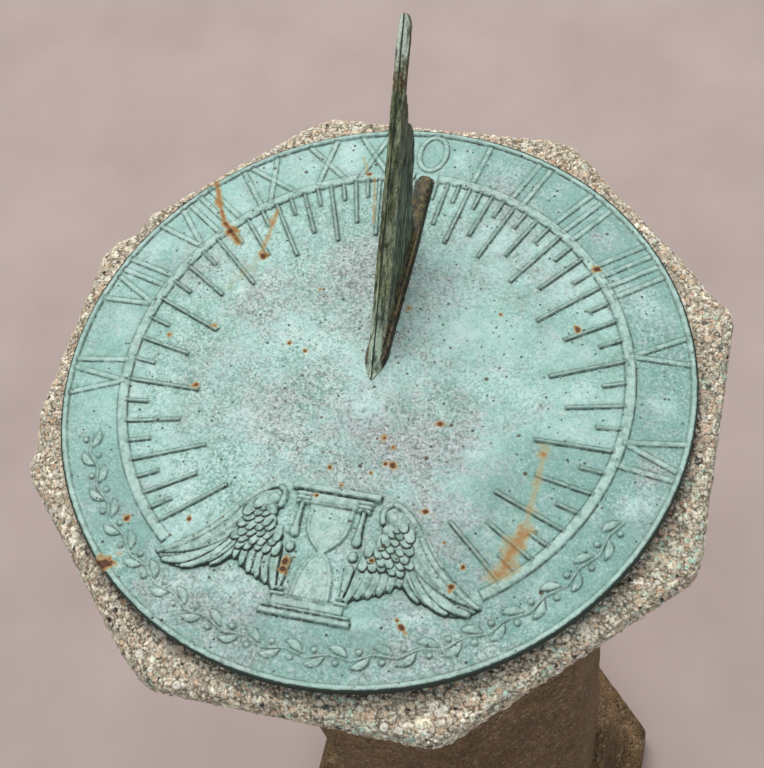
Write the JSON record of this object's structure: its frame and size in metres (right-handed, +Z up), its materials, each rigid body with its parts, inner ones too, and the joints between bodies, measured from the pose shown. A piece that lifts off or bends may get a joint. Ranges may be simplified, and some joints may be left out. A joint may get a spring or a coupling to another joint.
{
  "type": "garden sundial",
  "caption": "Horizontal garden sundial: a round verdigris bronze dial with a triangular gnomon on an octagonal stone pedestal.",
  "frame": {"origin": "centre of the pedestal base's flat underside, on the ground", "axes": "+Z up; +Y towards the noon mark, which is set to north; +X east, the afternoon side of the dial"},
  "size_m": [0.328, 0.328, 0.8789],
  "materials": {
    "cap_stone": "exposed pebble aggregate, weathered",
    "pedestal_stone": "cast stone, fine dark aggregate, weathered",
    "mortar": "brushed mortar",
    "steel_bar": "mill scale",
    "dowel_steel": "stainless, drawn",
    "plate_bronze": "cast bronze with a pale green verdigris patina",
    "gnomon_bronze": "cast bronze with a dark olive patina",
    "turned_bronze": "turned, lightly tarnished",
    "pad_rubber": "matt"
  },
  "bodies": {
    "pedestal": {"pedestal_base": "pedestal_stone", "base_hoop": "steel_bar", "base_dowels": "dowel_steel", "base_mortar": "mortar", "pedestal_shaft": "pedestal_stone", "shaft_bars": "steel_bar", "shaft_ties": "steel_bar", "cap_dowels": "dowel_steel", "cap_mortar": "mortar", "pedestal_cap": "cap_stone", "cap_hoop": "steel_bar", "bush_grout": "mortar", "stud_bush": "turned_bronze", "levelling_pads": "pad_rubber"},
    "dial": {"dial_plate": "plate_bronze", "gnomon": "gnomon_bronze", "gnomon_screws": "turned_bronze", "gnomon_pin": "turned_bronze", "dial_stud": "turned_bronze", "thrust_washer": "turned_bronze", "spring_washer": "dowel_steel", "stud_nut": "turned_bronze", "lock_nut": "turned_bronze"}
  },
  "joints": [
    {"name": "dial_turn", "type": "hinge", "parent": "pedestal", "child": "dial", "pos_m": [0, 0, 0.768], "axis": [0, 0, 1], "continuous": true}
  ]
}
